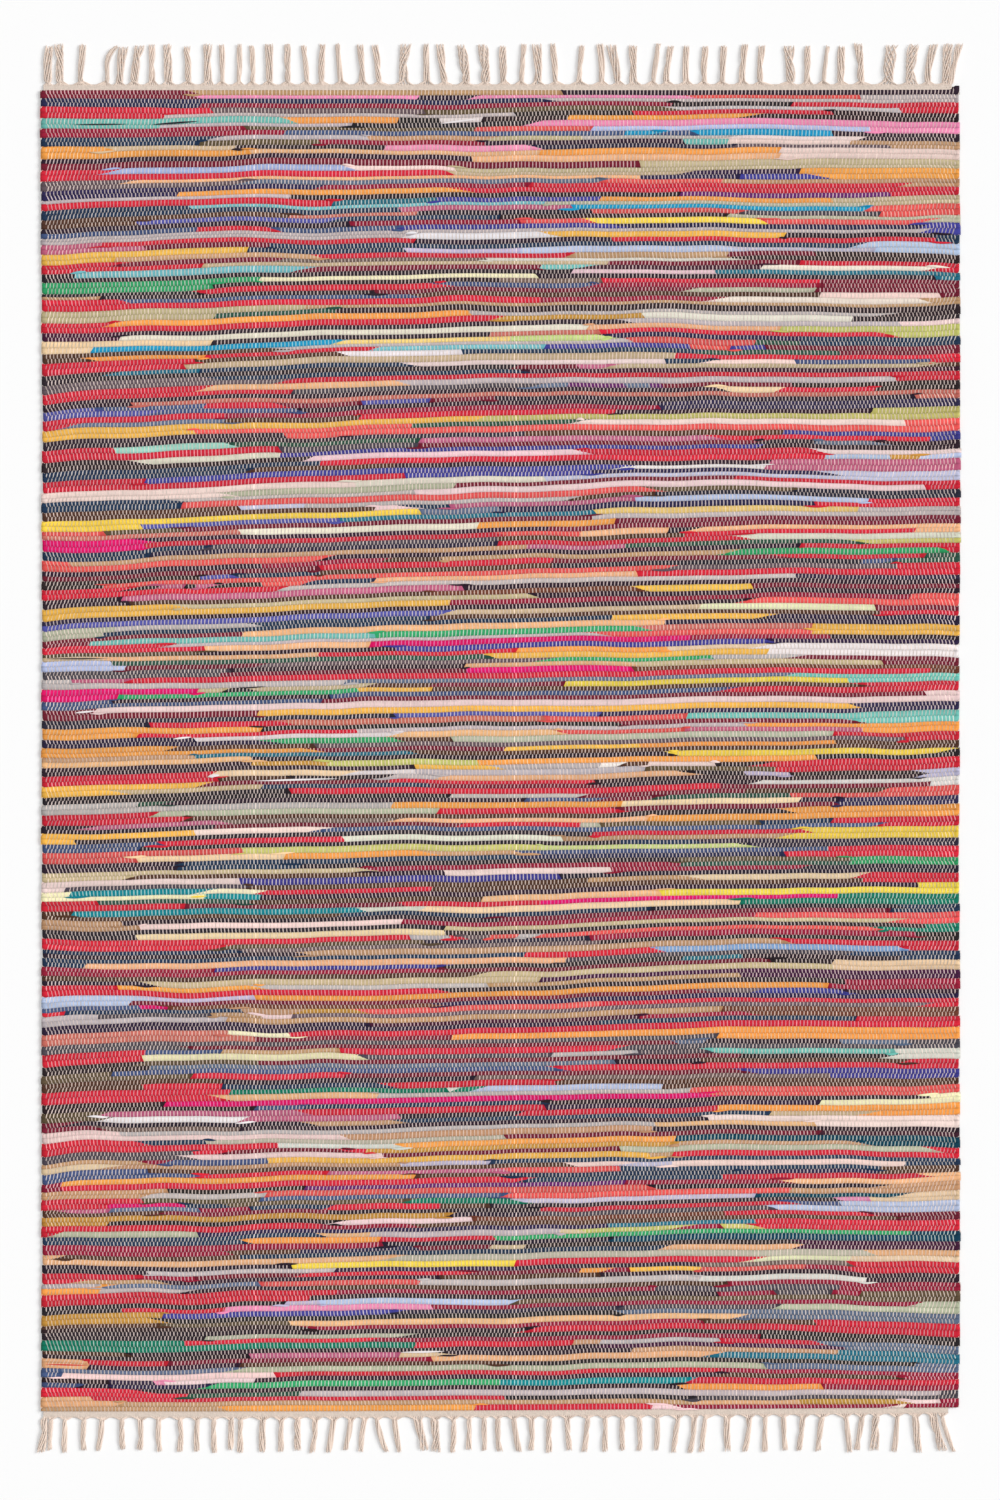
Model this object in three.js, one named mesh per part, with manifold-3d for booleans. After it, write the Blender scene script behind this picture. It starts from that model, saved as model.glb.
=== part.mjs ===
// Rag rug, lying flat: strips of cotton rag woven row by row on a thin cotton warp,
// a narrow cream heading at each end, and the warp left long there as loose fringe.
// Millimetres, +Z up, floor at z = 0. +Y is the far end, +X the right-hand side.

import * as THREE from 'three';
import Module from 'manifold-3d';
import { mergeVertices } from 'three/addons/utils/BufferGeometryUtils.js';

// Driving sizes
const fieldWidth = 1600;
const fieldLength = 2300;
const farHeadingDepth = 10.5;
const nearHeadingDepth = 11.5;
const farFringeLength = 71.5;
const nearFringeLength = 64.5;
const fringeReach = 804; // how far out from the middle the corner tassels lie
const partingGap = 0.3; // between the field and each heading

// Thicknesses
const crestHeight = 6.5; // top of a rag row
const valleyHeight = 4.4; // between two rows
const selvedgeHeight = 2.6; // where the rounded side edge turns down
const headingHeight = 3.2;
const tasselHeight = 3.6;
const tasselSlimness = 0.5; // a thin tassel's height, as a share of its width

// The rag rows
const rowCount = 275;
const selvedgeDrop = 9; // width of the rounded side edge
const innerColumns = [-420, 0, 420]; // where the rows and headings bend
const valleyNotch = 2.4; // how far the side edge draws in between two rows
const knobDepth = 1.6; // how much less than the widest row a narrow one reaches
const bulkSpread = 0.32; // share by which a thick rag's row is deeper than a thin one's

// The slow waves of a hand-beaten weave
const sideWave = 1.2;
const rowWave = 3.2;
const farSkew = 2.5; // the far end falls this much to the right, and rises to the left
const nearSkew = 3;
const endBow = 1.2;

// Where the middle of each piece lies, with the whole rug centred on the origin
const overallLength =
  fieldLength + farHeadingDepth + nearHeadingDepth + farFringeLength + nearFringeLength;
const farEnd = overallLength / 2 - farFringeLength - farHeadingDepth;
const nearEnd = farEnd - fieldLength;
const sideEdge = fieldWidth / 2;

// Tassels at each end, left to right. A group starts at x = from and holds count tassels
// at an even pitch. Each leans sideways by lean at its tip, give or take sway.
const farTassels = [
  { from: -790, count: 2, pitch: 20, lean: 0, sway: 1, width: 13 },
  { from: -731, count: 1, pitch: 30, lean: 3, sway: 0, width: 10 },
  { from: -688, count: 6, pitch: 27.5, lean: 2, sway: 5, width: 12 },
  { from: -511, count: 9, pitch: 28.7, lean: -3, sway: 4, width: 10 },
  { from: -242, count: 2, pitch: 29.5, lean: -6, sway: 2, width: 10 },
  { from: -168, count: 9, pitch: 33.3, lean: -2, sway: 6, width: 12 },
  { from: 137, count: 11, pitch: 31.4, lean: 0, sway: 8, width: 11 },
  { from: 507, count: 5, pitch: 30.5, lean: -1, sway: 5, width: 12 },
  { from: 673, count: 3, pitch: 35.5, lean: 6, sway: 4, width: 16 },
  { from: 779, count: 1, pitch: 30, lean: 24, sway: 0, width: 13 },
];
const nearTassels = [
  { from: -791, count: 1, pitch: 30, lean: -9, sway: 0, width: 12 },
  { from: -772, count: 1, pitch: 30, lean: 1, sway: 0, width: 10 },
  { from: -746, count: 9, pitch: 31.2, lean: -2, sway: 3, width: 10 },
  { from: -470, count: 2, pitch: 17, lean: 0, sway: 1, width: 8 },
  { from: -414, count: 9, pitch: 28.4, lean: -2, sway: 7, width: 11 },
  { from: -145, count: 10, pitch: 29.1, lean: 3, sway: 5, width: 11 },
  { from: 152, count: 8, pitch: 29.6, lean: -5, sway: 4, width: 10 },
  { from: 394, count: 6, pitch: 33.2, lean: -3, sway: 4, width: 11 },
  { from: 600, count: 5, pitch: 30.5, lean: 0, sway: 6, width: 13 },
  { from: 752, count: 1, pitch: 30, lean: 17, sway: 0, width: 13 },
  { from: 771, count: 1, pitch: 30, lean: 21, sway: 0, width: 4 },
];
const tasselSteps = 4;
const rootFlare = 1.45; // a tassel is this much wider where it leaves the heading
const tipNarrowing = 0.84;
const topShare = 0.58; // width of a tassel's rounded top, as a share of its base
const tipSag = 0.8; // height of a tassel's tip, as a share of its full height
const rootHeight = 3; // height of a tassel where it is fused into the heading
const rootDepth = 4; // how far a tassel runs into its heading
const lengthSpread = 5; // how much shorter than the longest a tassel may be
const bendSpread = 3; // how far a tassel bows out sideways half-way along
const headingInset = 3; // a heading stops this far inside the side edge
const farCornerInset = 12; // and farther in at the far right, beside a turned rag end
const cornerRounding = 16; // the near right corner is drawn in by this much
const cornerRows = 3; // over this many rows

// An even scatter of values from -1 to 1, the same each time.
const goldenShare = 0.618034;
const scatter = (n) => 2 * ((n * goldenShare) % 1) - 1;

// Heights of all rows from the far end, as shares of the field's length.
function rowEdges() {
  const bulks = Array.from({ length: rowCount }, (_, n) => 1 + bulkSpread * scatter(n + 1) / 2);
  const total = bulks.reduce((sum, bulk) => sum + bulk, 0);
  const edges = [0];
  bulks.forEach((bulk) => edges.push(edges.at(-1) + bulk / total));
  return edges;
}

// y of the field's two ends at x, and of any row between them.
const farEdgeY = (x) => farEnd - farSkew * (x / sideEdge) + endBow * Math.cos(x / 260) - endBow;
const nearEdgeY = (x) => nearEnd + nearSkew * (x / sideEdge) - endBow * Math.cos(x / 310) + endBow;
function rowY(share, x) {
  const wave = rowWave * Math.sin(Math.PI * share);
  const swell = (2 * Math.sin(x / 170 + 23 * share) + Math.sin(x / 95 - 41 * share)) / 3;
  return THREE.MathUtils.lerp(farEdgeY(x), nearEdgeY(x), share) + wave * swell;
}

// How far the cloth reaches sideways on a row's crest line or the valley line beside it.
function reach(line, share, side) {
  const isCrest = line % 2 === 1;
  const knob = knobDepth * (1 + scatter(line + (side > 0 ? 7 : 0))) / 2;
  const slow = sideWave * (1 - Math.sin(9 * share + 2 * side)) / 2;
  return sideEdge - slow - knob - (isCrest ? 0 : valleyNotch);
}

// A closed body from a grid of top points, with a flat underside at z = 0.
function slabGeometry(topRows) {
  const positions = [];
  const triangles = [];
  const columns = topRows[0].length;
  topRows.forEach((row) => {
    const first = row[0];
    const last = row[columns - 1];
    row.forEach((point) => positions.push(point.x, point.y, point.z));
    positions.push(first.x, first.y, 0, last.x, last.y, 0);
  });
  const stride = columns + 2;
  const quad = (a, b, c, d) => triangles.push(a, b, c, a, c, d);
  for (let n = 0; n < topRows.length - 1; n += 1) {
    const here = n * stride;
    const next = here + stride;
    for (let m = 0; m < columns - 1; m += 1) {
      quad(here + m, next + m, next + m + 1, here + m + 1);
    }
    quad(here + columns, here + columns + 1, next + columns + 1, next + columns);
    quad(here + columns, next + columns, next, here);
    quad(here + columns - 1, next + columns - 1, next + columns + 1, here + columns + 1);
  }
  // the two end walls, each a fan from its left bottom corner
  const farFan = columns;
  const nearFan = (topRows.length - 1) * stride + columns;
  for (let m = 0; m < columns - 1; m += 1) {
    triangles.push(farFan, m, m + 1);
    triangles.push(nearFan, nearFan - columns + m + 1, nearFan - columns + m);
  }
  triangles.push(farFan, columns - 1, farFan + 1);
  triangles.push(nearFan, nearFan + 1, nearFan - 1);

  const geometry = new THREE.BufferGeometry();
  geometry.setAttribute('position', new THREE.Float32BufferAttribute(positions, 3));
  geometry.setIndex(triangles);
  geometry.computeVertexNormals();
  return geometry;
}

// The ribbed field: a crest line along each rag row and a valley line between rows.
function fieldGeometry() {
  const edges = rowEdges();
  const rows = [];
  for (let line = 0; line <= 2 * rowCount; line += 1) {
    const row = Math.floor(line / 2);
    const isCrest = line % 2 === 1;
    const share = isCrest ? (edges[row] + edges[row + 1]) / 2 : edges[row];
    const z = isCrest ? crestHeight : valleyHeight;
    // the drawn-in corner at the near right
    const cornerShare = Math.max(0, 1 - (1 - share) * rowCount / cornerRows);
    const rightReach = reach(line, share, 1) - cornerRounding * cornerShare * cornerShare;
    const leftReach = reach(line, share, -1);
    const xs = [
      -leftReach,
      -leftReach + selvedgeDrop,
      ...innerColumns,
      rightReach - selvedgeDrop,
      rightReach,
    ];
    const atEdge = (column) => column === 0 || column === xs.length - 1;
    rows.push(xs.map((x, column) => (
      new THREE.Vector3(x, rowY(share, x), atEdge(column) ? selvedgeHeight : z)
    )));
  }
  return slabGeometry(rows);
}

// The heading strip: side 1 is the far end, side -1 the near one.
function headingGeometry(side, leftX, rightX) {
  const edgeY = side > 0 ? farEdgeY : nearEdgeY;
  const depth = side > 0 ? farHeadingDepth : nearHeadingDepth;
  const xs = [leftX, ...innerColumns, rightX];
  const inner = xs.map((x) => new THREE.Vector2(x, edgeY(x) + side * partingGap));
  const outer = xs.map((x) => new THREE.Vector2(x, edgeY(x) + side * depth));
  const outline = new THREE.Shape([...inner, ...outer.reverse()]);
  return new THREE.ExtrudeGeometry(outline, { depth: headingHeight, bevelEnabled: false });
}

// One lock of warp ends: a four-sided bar with a flat base, laid along its centre line.
function tasselGeometry(tassel) {
  const positions = [];
  const triangles = [];
  const thickness = Math.min(tasselHeight, tasselSlimness * tassel.width);
  for (let step = 0; step <= tasselSteps; step += 1) {
    const t = step / tasselSteps;
    const flare = step === 0 ? rootFlare : 1;
    const half = tassel.width / 2 * flare * THREE.MathUtils.lerp(1, tipNarrowing, t);
    const x = tassel.rootX + tassel.lean * t ** 1.4 + tassel.bend * Math.sin(Math.PI * t);
    const y = THREE.MathUtils.lerp(tassel.rootY, tassel.tipY, t);
    const height = step === 0
      ? Math.min(rootHeight, thickness)
      : thickness * THREE.MathUtils.lerp(1, tipSag, t);
    positions.push(x - half, y, 0, x + half, y, 0);
    positions.push(x + half * topShare, y, height, x - half * topShare, y, height);
  }
  for (let step = 0; step < tasselSteps; step += 1) {
    for (let corner = 0; corner < 4; corner += 1) {
      const a = step * 4 + corner;
      const b = step * 4 + (corner + 1) % 4;
      triangles.push(a, b, b + 4, a, b + 4, a + 4);
    }
  }
  const end = tasselSteps * 4;
  triangles.push(0, 2, 1, 0, 3, 2);
  triangles.push(end, end + 1, end + 2, end, end + 2, end + 3);
  // at the far end the bar runs the other way, so its faces are turned over
  if (tassel.tipY > tassel.rootY) {
    for (let n = 0; n < triangles.length; n += 3) {
      [triangles[n + 1], triangles[n + 2]] = [triangles[n + 2], triangles[n + 1]];
    }
  }
  const geometry = new THREE.BufferGeometry();
  geometry.setAttribute('position', new THREE.Float32BufferAttribute(positions, 3));
  geometry.setIndex(triangles);
  return geometry;
}

// The tassels of one end, worked out from its table.
function layTassels(table, side) {
  const edgeY = side > 0 ? farEdgeY : nearEdgeY;
  const depth = side > 0 ? farHeadingDepth : nearHeadingDepth;
  const longestTip = side * overallLength / 2;
  const tassels = [];
  table.forEach((group) => {
    for (let n = 0; n < group.count; n += 1) {
      const serial = tassels.length + (side > 0 ? 0 : 100);
      const shorter = tassels.length % 9 === 4 ? 0 : lengthSpread * (1 + scatter(3 * serial)) / 2;
      const rootX = group.from + n * group.pitch;
      const outermost = fringeReach - group.width / 2 * tipNarrowing;
      const tipX = rootX + group.lean + group.sway * scatter(serial);
      tassels.push({
        rootX,
        lean: THREE.MathUtils.clamp(tipX, -outermost, outermost) - rootX,
        bend: group.count === 1 ? 0 : bendSpread * scatter(2 * serial),
        width: group.width,
        rootY: edgeY(rootX) + side * (depth - rootDepth),
        tipY: longestTip - side * shorter,
      });
    }
  });
  return tassels;
}

// Joining solids
const wasm = await Module();
wasm.setup();

function toSolid(geometry) {
  const bare = geometry.clone();
  bare.deleteAttribute('normal');
  bare.deleteAttribute('uv');
  const merged = mergeVertices(bare);
  return new wasm.Manifold(new wasm.Mesh({
    numProp: 3,
    vertProperties: new Float32Array(merged.attributes.position.array),
    triVerts: new Uint32Array(merged.index.array),
  }));
}

function toGeometry(solid) {
  const mesh = solid.getMesh();
  const geometry = new THREE.BufferGeometry();
  geometry.setAttribute('position', new THREE.Float32BufferAttribute(mesh.vertProperties, 3));
  geometry.setIndex(Array.from(mesh.triVerts));
  geometry.computeVertexNormals();
  return geometry;
}

// A heading with all its tassels, fused at their roots.
function fringeGeometry(table, side, leftX, rightX) {
  const heading = toSolid(headingGeometry(side, leftX, rightX));
  const locks = layTassels(table, side).map((tassel) => toSolid(tasselGeometry(tassel)));
  return toGeometry(locks.reduce((solid, lock) => solid.add(lock), heading));
}

// Materials
const ragCotton = new THREE.MeshStandardMaterial({ color: '#a3837c', roughness: 0.95, metalness: 0 });
const warpCotton = new THREE.MeshStandardMaterial({ color: '#ddccbd', roughness: 0.95, metalness: 0 });

function piece(name, geometry, material) {
  const mesh = new THREE.Mesh(geometry, material);
  mesh.name = name;
  return mesh;
}

// The rug
const headingLeft = -sideEdge + headingInset;
const farHeadingRight = sideEdge - farCornerInset;
const nearHeadingRight = sideEdge - cornerRounding - headingInset;
const rug = new THREE.Group();
rug.add(piece('rag_field', fieldGeometry(), ragCotton));
rug.add(piece(
  'far_heading_and_fringe',
  fringeGeometry(farTassels, 1, headingLeft, farHeadingRight),
  warpCotton,
));
rug.add(piece(
  'near_heading_and_fringe',
  fringeGeometry(nearTassels, -1, headingLeft, nearHeadingRight),
  warpCotton,
));

export default rug;
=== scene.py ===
# %% [markdown]
# # A rag rug
#
# The rug is woven from strips torn out of old cotton clothes. A thin cream cotton warp runs the
# length of the rug, and the rag strips cross it row by row. Each warp end goes over one row and
# under the next, so a row shows as a coloured rib with a line of short cream dashes, the floats.
# A narrow cream heading and loose tassels of warp ends finish both ends.
#
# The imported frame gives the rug's real size and place. Everything here is built in metres on
# that frame, and what the weaver did is what the code does: rag after rag, row after row.

# %% Load the frame
import math

import bpy
import numpy as np
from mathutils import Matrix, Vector


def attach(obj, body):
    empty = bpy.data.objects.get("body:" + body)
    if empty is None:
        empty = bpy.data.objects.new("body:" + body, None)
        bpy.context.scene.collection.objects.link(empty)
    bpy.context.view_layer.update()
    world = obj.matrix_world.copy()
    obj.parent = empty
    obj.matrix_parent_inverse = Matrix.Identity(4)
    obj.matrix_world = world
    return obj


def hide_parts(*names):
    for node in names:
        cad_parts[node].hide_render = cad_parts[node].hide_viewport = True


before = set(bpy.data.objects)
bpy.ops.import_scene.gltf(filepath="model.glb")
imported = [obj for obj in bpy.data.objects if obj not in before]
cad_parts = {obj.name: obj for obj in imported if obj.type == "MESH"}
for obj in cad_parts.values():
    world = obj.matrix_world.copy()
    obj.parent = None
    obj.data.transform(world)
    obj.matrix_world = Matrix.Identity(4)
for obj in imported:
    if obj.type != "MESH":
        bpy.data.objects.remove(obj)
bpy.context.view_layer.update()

# %% [markdown]
# ## The camera and the light
#
# The rug is seen from straight above, so the camera looks down from high up with a long lens,
# which keeps the rug's sides parallel. The photograph's frame is 1000 by 1500 pixels, and one of
# its pixels is 1.743 mm on the rug. A big soft light stands far off on the right: it draws the
# faint shadows that lie to the left of each tassel and of each rib.

# %% Photograph, camera and lights
MM = 0.001
PHOTO_SIZE = (1000, 1500)
PIXEL = 1.743 * MM
PHOTO_MIDDLE = (500.75, 748.1)  # the photo pixel that lies over the rug's origin


def across_at(photo_x):
    """The x in metres under a photo column."""
    return (np.asarray(photo_x, float) - PHOTO_MIDDLE[0]) * PIXEL


def along_at(photo_y):
    """The y in metres under a photo row."""
    return (PHOTO_MIDDLE[1] - np.asarray(photo_y, float)) * PIXEL


CAMERA_HEIGHT = 9.0
SENSOR = 36.0  # width of the camera's film in mm
FAR_AWAY = 60.0  # how far the camera sees and the ground reaches
LIGHTS = [  # name, direction in which it stands, softness in degrees, strength
    ("right softbox", (1.0, 0.25, 0.62), 28, 2.25),
    ("overhead softbox", (-0.1, 0.1, 1.0), 60, 1.0),
]
SKY_STRENGTH = 0.36


def add_camera():
    lens = bpy.data.cameras.new("camera")
    lens.sensor_width = SENSOR
    lens.lens = SENSOR * CAMERA_HEIGHT / (PHOTO_SIZE[1] * PIXEL)
    lens.clip_end = FAR_AWAY
    camera = bpy.data.objects.new("camera", lens)
    middle_x = across_at(PHOTO_SIZE[0] / 2)
    middle_y = along_at(PHOTO_SIZE[1] / 2)
    camera.location = (middle_x, middle_y, CAMERA_HEIGHT)
    bpy.context.scene.collection.objects.link(camera)
    bpy.context.scene.camera = camera


def add_far_light(name, direction, softness, strength):
    """A soft light so far away that it falls evenly on the whole rug, from that direction."""
    data = bpy.data.lights.new(name, "SUN")
    data.angle = math.radians(softness)
    data.energy = strength
    light = bpy.data.objects.new(name, data)
    light.rotation_euler = Vector(direction).to_track_quat("Z", "Y").to_euler()
    bpy.context.scene.collection.objects.link(light)


add_camera()
for light in LIGHTS:
    add_far_light(*light)

world = bpy.data.worlds.new("studio")
world.use_nodes = True
sky = world.node_tree.nodes["Background"].inputs
sky["Color"].default_value = (1, 1, 1, 1)
sky["Strength"].default_value = SKY_STRENGTH
bpy.context.scene.world = world
bpy.context.scene.view_settings.view_transform = "Standard"
print("lens", round(bpy.context.scene.camera.data.lens, 1), "mm")

# %% [markdown]
# ## Writing shaders as sums
#
# Cotton is matt, and what makes it look real is small variation: a rag is never one flat colour.
# That variation is arithmetic on noise and on the mesh's own values. Wiring such sums by hand
# hides them, so one small class wraps a node's output and lets them be written in Python.

# %% A class for shader sums
WEAK_SHINE = 0.25  # of dry cotton


class Value:
    """An output socket of a material's node tree, with arithmetic."""

    def __init__(self, shader, socket):
        self.shader = shader
        self.socket = socket

    def math(self, operation, *others):
        return self.shader.node("ShaderNodeMath", {"operation": operation}, self, *others)

    def __add__(self, other):
        return self.math("ADD", other)

    def __sub__(self, other):
        return self.math("SUBTRACT", other)

    def __rsub__(self, other):
        return self.shader.node("ShaderNodeMath", {"operation": "SUBTRACT"}, other, self)

    def __mul__(self, other):
        return self.math("MULTIPLY", other)

    def __gt__(self, other):
        return self.math("GREATER_THAN", other)

    __radd__ = __add__
    __rmul__ = __mul__

    def cosine(self):
        return self.math("COSINE")

    def blend(self, below, above):
        """below where this value is 0, above where it is 1. Both are colours."""
        mix = self.shader.node("ShaderNodeMix", {"data_type": "RGBA"}, output=2)
        self.shader.join(mix, 0, self)
        self.shader.join(mix, 6, below)
        self.shader.join(mix, 7, above)
        return mix

    def scaled(self, amount):
        """This colour or vector times a number or a value."""
        return self.shader.node("ShaderNodeVectorMath", {"operation": "SCALE"}, self, Scale=amount)

    def stretched(self, *factors):
        """This vector times a fixed vector."""
        return self.shader.node("ShaderNodeVectorMath", {"operation": "MULTIPLY"}, self, factors)


class Shader:
    """A new material, with short ways to add its nodes."""

    def __init__(self, name, roughness):
        self.material = bpy.data.materials.new(name)
        self.material.use_nodes = True
        self.tree = self.material.node_tree
        self.surface = self.tree.nodes["Principled BSDF"]
        self.surface.inputs["Roughness"].default_value = roughness
        self.surface.inputs["Specular IOR Level"].default_value = WEAK_SHINE

    def node(self, kind, settings=None, *values, output=0, **named):
        """A node of this kind. Settings come first, then sockets in order or by name."""
        made = self.tree.nodes.new(kind)
        for key, setting in (settings or {}).items():
            setattr(made, key, setting)
        result = Value(self, made.outputs[output])
        for index, value in enumerate(values):
            self.join(result, index, value)
        for key, value in named.items():
            self.join(result, key.replace("_", " "), value)
        return result

    def join(self, target, key, value):
        """Links a value, or sets a number or a colour, on a socket of target's node."""
        socket = target.socket.node.inputs[key]
        if isinstance(value, Value):
            self.tree.links.new(value.socket, socket)
        else:
            socket.default_value = value

    def mesh_value(self, name, output="Fac"):
        return self.node("ShaderNodeAttribute", {"attribute_name": name}, output=output)

    def place(self):
        return self.node("ShaderNodeTexCoord", output="Object")

    def noise(self, where, scale, detail=2.0):
        return self.node("ShaderNodeTexNoise", {}, Vector=where, Scale=scale, Detail=detail)

    def finish(self, colour, height=None, relief=0.0):
        """Sets the colour, and a bump of relief metres for height going from 0 to 1."""
        surface = Value(self, self.surface.outputs[0])
        self.join(surface, "Base Color", colour)
        if height is not None:
            bump = self.node("ShaderNodeBump", {}, Height=height, Distance=relief, Strength=1.0)
            self.join(surface, "Normal", bump)
        return self.material


# %% [markdown]
# ## The colours of the rags
#
# Old shirts, sheets and leggings: mostly reds, blacks and blues, with bright yellow, orange,
# turquoise and many whites and beiges between them. Each has a plain name here, so that the
# weaver's chart below can be read.

# %% The rag basket
RAG_COLOURS = {
    "black": "#2a2029", "navy": "#2c2744", "slate": "#233752", "denim": "#46567e",
    "royal": "#424192", "violet": "#585aa6", "purple": "#66296a", "plum": "#3c1c34",
    "maroon": "#742032", "crimson": "#96223a", "red": "#d22e3e", "coral": "#e45a58",
    "salmon": "#cd7266", "rose": "#c26484", "pink": "#f295bc", "magenta": "#e01c68",
    "pale": "#f5cfdb", "blush": "#fadeda", "white": "#f0e9ea", "ivory": "#ece7d6",
    "cream": "#f1d5ae", "lemon": "#f4f0c6", "butter": "#fad588", "yellow": "#fadc62",
    "gold": "#fcc462", "orange": "#f5a359", "peach": "#f2bb8e", "tan": "#c59a76",
    "ochre": "#c6924a", "umber": "#52362a", "olive": "#5e503c", "khaki": "#cab692",
    "citron": "#cdc978", "lime": "#d2e094", "green": "#3ea66c", "mint": "#a2d6c4",
    "sage": "#b8b9a2", "forest": "#2f5345", "turquoise": "#7ac6bb", "aqua": "#7dc2ca",
    "teal": "#2c7086", "cyan": "#2f99c4", "sky": "#bdcaea", "ice": "#c6cade",
    "periwinkle": "#a6b0de", "lavender": "#c6c0da", "silver": "#c3babb", "steel": "#62708a",
    "grey": "#68585e", "smoke": "#4e4852", "taupe": "#74605a", "brown": "#744232",
    "frost": "#d8dcd2", "lagoon": "#168892", "jade": "#1a7c62", "cornflower": "#86a6d6",
    "petrol": "#10435a", "cobalt": "#4848a0",
}


def linear(code):
    """The linear red, green and blue of a colour written as #rrggbb."""
    shares = np.array([int(code[n:n + 2], 16) / 255 for n in (1, 3, 5)])
    return np.where(shares <= 0.04045, shares / 12.92, ((shares + 0.055) / 1.055) ** 2.4)


BRIGHTNESS = np.array([0.2126, 0.7152, 0.0722])  # how bright red, green and blue look
FRESHNESS = 1.08  # how much further from grey the dyes are than the names' colours
LEAST_SHARE = 0.3  # of its red, green or blue that a deepened colour keeps


def deepened(colour):
    """The colour as a fresher dye: further from the grey of the same brightness."""
    grey = colour @ BRIGHTNESS
    return np.maximum(grey + FRESHNESS * (colour - grey), LEAST_SHARE * colour)


BASKET = {name: deepened(linear(code)) for name, code in RAG_COLOURS.items()}
print(len(BASKET), "rag colours")

# %% [markdown]
# ## The weaver's chart
#
# One line is one row, read from left to right: a rag's colour, and the photo column where it
# ends. The last rag of a row has no column, because it goes to the right edge. A plus is a bulky
# rag, which makes the row deep, and a minus a thin one. Rags are sewn end to end into one long
# weft that turns at each side edge, so at the left edge rows 1 and 2 share a rag, then rows 3
# and 4, and at the right edge rows 2 and 3, then 4 and 5.

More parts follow.
